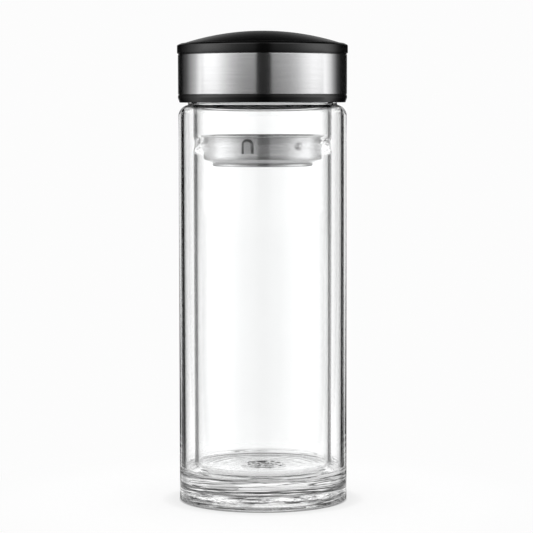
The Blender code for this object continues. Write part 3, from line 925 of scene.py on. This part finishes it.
def wire_data(points):
    """A round wire along points that lie in one upright plane through X or Y."""
    verts, faces = [], []
    points = [Vector(p) for p in points]
    for index, point in enumerate(points):
        along = (points[min(index + 1, len(points) - 1)] - points[max(index - 1, 0)]).normalized()
        across = Vector((0, 0, 1)).cross(along).normalized()
        upright = along.cross(across)
        for side in range(WIRE_SIDES):
            angle = math.tau * side / WIRE_SIDES
            arm = across * math.cos(angle) + upright * math.sin(angle)
            verts.append(tuple(point + arm * WIRE_R))
    for row in range(len(points) - 1):
        for side in range(WIRE_SIDES):
            after = (side + 1) % WIRE_SIDES
            low, high = row * WIRE_SIDES, (row + 1) * WIRE_SIDES
            faces.append((low + side, low + after, high + after, high + side))
    last = (len(points) - 1) * WIRE_SIDES
    faces.append(tuple(range(WIRE_SIDES))[::-1])
    faces.append(tuple(range(last, last + WIRE_SIDES)))
    return verts, faces


def wire_cloth():
    """Woven cloth: wires both ways, each passing over and under the next by its own radius."""
    wires = []
    count = math.floor(CLOTH_R / CLOTH_PITCH)
    for lane in range(-count, count + 1):
        aside = lane * CLOTH_PITCH
        half = math.floor(math.sqrt(CLOTH_R**2 - aside**2) / (CLOTH_PITCH / 2))
        first, second = [], []
        for step in range(-half, half + 1):
            along = step * CLOTH_PITCH / 2
            up = WIRE_R * math.cos(math.pi * (step / 2 + lane))
            first.append((along, aside, CLOTH_Z + up))
            second.append((aside, along, CLOTH_Z - up))
        wires.append(wire_data(first))
        wires.append(wire_data(second))
    replaced = ("infuser_mesh",)
    piece_from("infuser_wire_cloth", wires, satin, "infuser", replaced, sharp=0)


def foot_ring():
    """Folded ring that holds the cloth under the hem."""
    section = [
        (HEM_INNER_R, RING_Z, 0.15),
        (RING_R, RING_Z, 0.45),
        (RING_R, RING_TOP_Z, 0.25),
        (RING_FOLD_R, RING_TOP_Z, 0.1),
        (RING_FOLD_R, RING_FOLD_Z),
        (HEM_INNER_R, RING_FOLD_Z, 0.15),
    ]
    lathed = lathe_data(rounded(section))
    piece_from("infuser_foot_ring", [lathed], satin, "infuser", ("infuser_mesh_ring",))


def dress(node, material):
    """Gives a CAD node that stays its better material."""
    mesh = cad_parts[node].data
    mesh.materials.clear()
    mesh.materials.append(material)


glass_bottle()
cap_body()
cap_band()
cap_rim()
cap_dome()
infuser_bowl()
wire_cloth()
foot_ring()
dress("cap_inner_plate", spun)
dress("cap_gasket", silicone)


# Camera

FOCAL_PX = 2291.5
PHOTO_PX = 533
CAMERA_AT = (0.00141, -0.880, 0.1510)
CAMERA_DOWN = math.radians(3.960)
CAMERA_ROLL = math.radians(-0.10)


def add_camera():
    data = bpy.data.cameras.new("camera")
    data.sensor_width = 36
    data.lens = FOCAL_PX / PHOTO_PX * data.sensor_width
    data.clip_end = 100
    camera = bpy.data.objects.new("camera", data)
    upright = Matrix.Rotation(math.radians(90) - CAMERA_DOWN, 4, "X")
    turn = upright @ Matrix.Rotation(CAMERA_ROLL, 4, "Z")
    camera.matrix_world = Matrix.Translation(CAMERA_AT) @ turn
    bpy.context.scene.collection.objects.link(camera)
    bpy.context.scene.camera = camera


# Studio

# How bright the studio is at eye level and above it, by degrees round the bottle.
# 0 is the camera's side, and 90 is on its right.
EYE_LEVEL = (
    (-180, 0.003), (-142, 0.003), (-125, 0.14), (-103, 0.8), (-84, 2.4), (-72, 2.35), (-64, 2.15),
    (-54, 1.55), (-43, 0.95), (-32, 0.6), (-25, 0.47), (-8, 0.36), (12, 0.32), (25, 0.45),
    (36, 0.6), (47, 0.95), (53, 1.3), (59, 1.65), (66, 1.95), (72, 2.2), (79, 2.2), (87, 2.1),
    (94, 1.8), (100, 1.4), (106, 1.05), (112, 0.55), (122, 0.1), (133, 0.008), (142, 0.003),
    (180, 0.003),
)
ABOVE = (
    (-180, 0.0), (-148, 0.0), (-125, 0.34), (-104, 1.1), (-82, 1.5), (-64, 1.8), (-48, 1.9),
    (-30, 1.6), (-8, 1.2), (12, 1.1), (30, 1.6), (48, 1.85), (66, 1.6), (85, 1.1), (102, 0.7),
    (112, 0.5), (120, 0.2), (130, 0.03), (180, 0.0),
)
PEAK = 3.2

# How bright the backdrop behind the bottle is in reflections, by the height of the direction
BACKDROP = (
    (-90, 0.4), (4, 0.4), (8, 0.45), (12, 0.36), (15, 0.28), (20, 0.12), (24, 0.05), (28, 0.03),
    (34, 0.0), (90, 0.0),
)
BACKDROP_PEAK = 2.0

# The dark stripe in front: its middle, and where it ends either side, in degrees
STRIPE_AT = 1.8
STRIPE_HALF = (10.0, 10.5)

# The pale background as the camera sees it, through the glass and in turned rays
WHITE = 0.975
THROUGH = 1.2
TURNED = 1.15

# How many glass faces a mirrored ray has passed where it shows metal behind both walls
INNER_DEPTH = 6.5
INNER_SHARE = 0.7

# How far off straight back the backdrop still shows in rays turned inside the glass
BEHIND_LEFT = (20.0, 22.0)
BEHIND_RIGHT = (22.5, 25.5)

# Thin dark lines across the sky in turned rays: the height of each, in degrees
SKY_LINES = (6.7, 13.2)


def studio_group():
    """Brightness of the studio round the bottle, for the direction that is put in."""
    tree = bpy.data.node_groups.new("studio", "ShaderNodeTree")
    tree.interface.new_socket("Direction", in_out="INPUT", socket_type="NodeSocketVector")
    tree.interface.new_socket("Light", in_out="OUTPUT", socket_type="NodeSocketFloat")
    nodes = Nodes(tree)
    entry = nodes.add("NodeGroupInput")
    leave = nodes.add("NodeGroupOutput")
    x, y, z = nodes.axes(nodes.vector("NORMALIZE", entry.outputs[0])[0])[:3]
    around = nodes.math("ARCTAN2", x, nodes.times(y, -1.0))
    share = nodes.plus(nodes.math("DIVIDE", around, math.tau), 0.5)
    rise = nodes.math("ARCSINE", z)

    def ramp(stops):
        places = [(0.5 + degrees / 360, level / PEAK) for degrees, level in stops]
        return nodes.times(nodes.curve(share, places, "LINEAR"), PEAK)

    off_level = nodes.smooth_angle(nodes.math("ABSOLUTE", rise), 14, 26)
    light = nodes.mix(off_level, ramp(EYE_LEVEL), ramp(ABOVE))
    stripe = nodes.smooth_angle(nodes.off(around, math.radians(STRIPE_AT)), *STRIPE_HALF)
    light = nodes.mix(stripe, 0.02, light)
    light = nodes.mix(nodes.smooth_angle(rise, 55, 75), light, 0.6)
    behind = nodes.minus(math.pi, nodes.math("ABSOLUTE", around))
    height = nodes.plus(nodes.math("DIVIDE", rise, math.pi), 0.5)
    stops = [(0.5 + degrees / 180, level / BACKDROP_PEAK) for degrees, level in BACKDROP]
    backdrop = nodes.times(nodes.curve(height, stops, "LINEAR"), BACKDROP_PEAK)
    backdrop = nodes.times(backdrop, nodes.smooth_angle(behind, 0, 6, 0.5, 1.0))
    off_horizon = nodes.off(rise, math.radians(1.6))
    backdrop = nodes.times(backdrop, nodes.smooth_angle(off_horizon, 1.4, 2.0, 0.03, 1.0))
    light = nodes.mix(nodes.smooth_angle(behind, 15, 19, 1.0, 0.0), light, backdrop)
    nodes.link(light, leave.inputs[0])
    return tree


def studio_light(nodes, studio, direction):
    return nodes.add("ShaderNodeGroup", {0: direction}, node_tree=studio).outputs[0]


def backdrop_share(nodes, x, y, offset=0.0):
    """How much of the backdrop a turned ray sees, by how far it points off straight back."""
    aside = nodes.math("MAXIMUM", nodes.minus(nodes.math("ABSOLUTE", x), offset), 0.0)
    off = nodes.math("ARCTAN2", aside, nodes.minus(y, offset * 0.3))
    on_right = nodes.math("GREATER_THAN", x, 0.0)
    left = nodes.smooth_angle(off, *BEHIND_LEFT, 1.0, 0.0)
    right = nodes.smooth_angle(off, *BEHIND_RIGHT, 1.0, 0.0)
    return nodes.mix(on_right, left, right)


class Rays:
    """What kind of ray meets the world or the floor, as 0 or 1 for each kind."""

    def __init__(self, nodes):
        path = nodes.add("ShaderNodeLightPath").outputs
        self.camera = path["Is Camera Ray"]
        self.through_glass = path["Is Transmission Ray"]
        self.seen = nodes.math("MAXIMUM", path["Is Glossy Ray"], self.through_glass)
        self.mirrored = nodes.math("MINIMUM", path["Glossy Depth"], 1.0)
        self.straight = nodes.times(self.through_glass, nodes.minus(1.0, self.mirrored))
        deep = nodes.math("GREATER_THAN", path["Transmission Depth"], INNER_DEPTH)
        self.from_inside = nodes.times(deep, self.mirrored)
        self.nodes = nodes

    def turned_out(self, where):
        """Rays out of the glass, less the share from inside the bottle where that is put in."""
        inner = self.nodes.times(self.from_inside, where)
        return self.nodes.minus(self.through_glass, self.nodes.times(inner, INNER_SHARE), clamp=True)


def sky_share(nodes, rise, around):
    """How much of the pale sky a turned ray sees: all above the horizon but its lines and sides."""
    share = nodes.smooth_angle(rise, 2.5, 4.5)
    for height in SKY_LINES:
        line = nodes.smooth_angle(nodes.off(rise, math.radians(height)), 0.9, 1.5, 0.1, 1.0)
        share = nodes.times(share, line)
    sideways = nodes.off(around, math.pi / 2)
    return nodes.times(share, nodes.smooth_angle(sideways, 10, 22))


def add_world(studio):
    world = bpy.data.worlds.new("studio")
    bpy.context.scene.world = world
    world.use_nodes = True
    world.node_tree.nodes.clear()
    nodes = Nodes(world.node_tree)
    direction = nodes.add("ShaderNodeTexCoord").outputs["Generated"]
    x, y, z = nodes.axes(direction)[:3]
    rise = nodes.math("ARCSINE", z)
    around = nodes.math("ABSOLUTE", nodes.math("ARCTAN2", x, y))
    rays = Rays(nodes)
    low = nodes.smooth_angle(rise, 2.5, 4, 1.0, 0.0)
    turned_out = rays.turned_out(nodes.math("MAXIMUM", low, nodes.smooth_angle(around, 90, 100)))
    close = nodes.times(turned_out, backdrop_share(nodes, x, y))
    close = nodes.times(close, nodes.smooth(rise, 0.1, 0.3, 1.0, 0.0))
    level = nodes.mix(close, studio_light(nodes, studio, direction), TURNED)
    through = nodes.smooth_angle(rise, 12, 30, THROUGH, 0.05)
    turned = nodes.times(sky_share(nodes, rise, around), nodes.times(turned_out, rays.mirrored))
    level = nodes.mix(turned, level, nodes.times(through, 1.3))
    level = nodes.mix(rays.straight, level, through)
    level = nodes.mix(rays.seen, 1.0, level)
    level = nodes.mix(rays.camera, level, WHITE)
    light = nodes.add("ShaderNodeBackground", {"Strength": level, "Color": (1, 1, 1, 1)})
    nodes.add("ShaderNodeOutputWorld", {"Surface": light.outputs[0]})


# The floor's tones near the bottle, with its painted contact shadow, shade ring and brighter patch, in
# metres from its axis
FLOOR_RADIUS = 8
FLOOR_GREY = 0.22
BASE_EDGE = 0.0315
LIT_UNDER_GLASS = (0.0270, 0.0325)
SHADOW_RING_AT = 0.0358
SHADOW_RING_HALF = (0.0034, 0.0046)
NEAR_FLOOR_SHADE = (0.038, 0.056)
CONTACT_SHADOW_EDGE = (0.0318, 0.0327)
CONTACT_SHADOW_FADE = (0.034, 0.041)


def far_floor(nodes, studio, place, distance, rays):
    """Light of the floor away from the bottle, which takes on the studio in reflections."""
    ahead = nodes.vector("NORMALIZE", place)[0]
    ahead = nodes.vector("ADD", ahead, (0, 0, -0.06))[0]
    x, y = nodes.axes(place)[:2]
    level = nodes.times(studio_light(nodes, studio, ahead), nodes.smooth(y, -0.02, 0.08, 0.4, 1.0))
    turned_out = rays.turned_out(nodes.smooth(distance, 1.0, 2.0))
    close = nodes.times(turned_out, backdrop_share(nodes, x, y, BASE_EDGE))
    level = nodes.mix(close, level, TURNED)
    level = nodes.mix(rays.straight, level, THROUGH)
    level = nodes.mix(rays.seen, 1.0, level)
    level = nodes.mix(rays.camera, level, WHITE)
    return nodes.add("ShaderNodeEmission", {"Strength": level}).outputs[0]


def near_floor(nodes, distance, rays):
    """White floor that keeps the bottle's shadow, with a painted contact shadow round the base, and, where
    the thick base shows it, a painted shade ring, painted darker floor near the bottle and a painted
    brighter patch under the glass.
    """
    grey = nodes.add("ShaderNodeBsdfDiffuse", {"Color": (FLOOR_GREY, FLOOR_GREY, FLOOR_GREY, 1)})
    # Painted light and shade seen through the glass: brighter under the glass, a dark shadow ring, and
    # darker near the bottle
    under = nodes.smooth(distance, *LIT_UNDER_GLASS, 1.3, 1.0)
    ring = nodes.smooth(nodes.off(distance, SHADOW_RING_AT), *SHADOW_RING_HALF, 0.02, 1.0)
    under = nodes.times(nodes.times(under, ring), nodes.smooth(distance, *NEAR_FLOOR_SHADE, 0.7, 1.0))
    glow = nodes.plus(nodes.times(rays.straight, THROUGH - 1), WHITE - FLOOR_GREY)
    glow = nodes.times(glow, nodes.mix(rays.seen, 1.0, under))
    # Painted contact shadow round the base for camera rays, fading out further away
    contact_shadow = nodes.smooth(distance, *CONTACT_SHADOW_EDGE, 0.5, 0.98)
    contact_shadow = nodes.times(contact_shadow, nodes.smooth(distance, *CONTACT_SHADOW_FADE, 0.96, 1.075))
    glow = nodes.times(glow, nodes.mix(rays.camera, 1.0, contact_shadow))
    extra = nodes.add("ShaderNodeEmission", {"Strength": glow})
    return nodes.add("ShaderNodeAddShader", {0: grey.outputs[0], 1: extra.outputs[0]}).outputs[0]


def floor_material(studio):
    material, nodes, shader = new_material("floor_white")
    place = nodes.place()
    distance = nodes.vector("LENGTH", place)["Value"]
    rays = Rays(nodes)
    near = near_floor(nodes, distance, rays)
    far = far_floor(nodes, studio, place, distance, rays)
    mirrored = nodes.times(rays.seen, rays.mirrored)
    away = nodes.mix(mirrored, nodes.smooth(distance, 0.06, 0.12), nodes.smooth(distance, 0.045, 0.07))
    both = nodes.add("ShaderNodeMixShader", {0: away, 1: near, 2: far})
    nodes.link(both.outputs[0], nodes.tree.nodes["Material Output"].inputs["Surface"])
    nodes.tree.nodes.remove(shader)
    return material


def add_floor(studio):
    mesh = bpy.data.meshes.new("studio_floor")
    work = bmesh.new()
    bmesh.ops.create_circle(work, cap_ends=True, segments=96, radius=FLOOR_RADIUS)
    work.to_mesh(mesh)
    work.free()
    floor = bpy.data.objects.new("studio_floor", mesh)
    bpy.context.scene.collection.objects.link(floor)
    mesh.materials.append(floor_material(studio))


add_camera()
studio = studio_group()
add_world(studio)
add_floor(studio)

scene = bpy.context.scene
scene.view_settings.view_transform = "Standard"
scene.cycles.max_bounces = 32
scene.cycles.transmission_bounces = 32
scene.cycles.glossy_bounces = 16
scene.cycles.transparent_max_bounces = 16
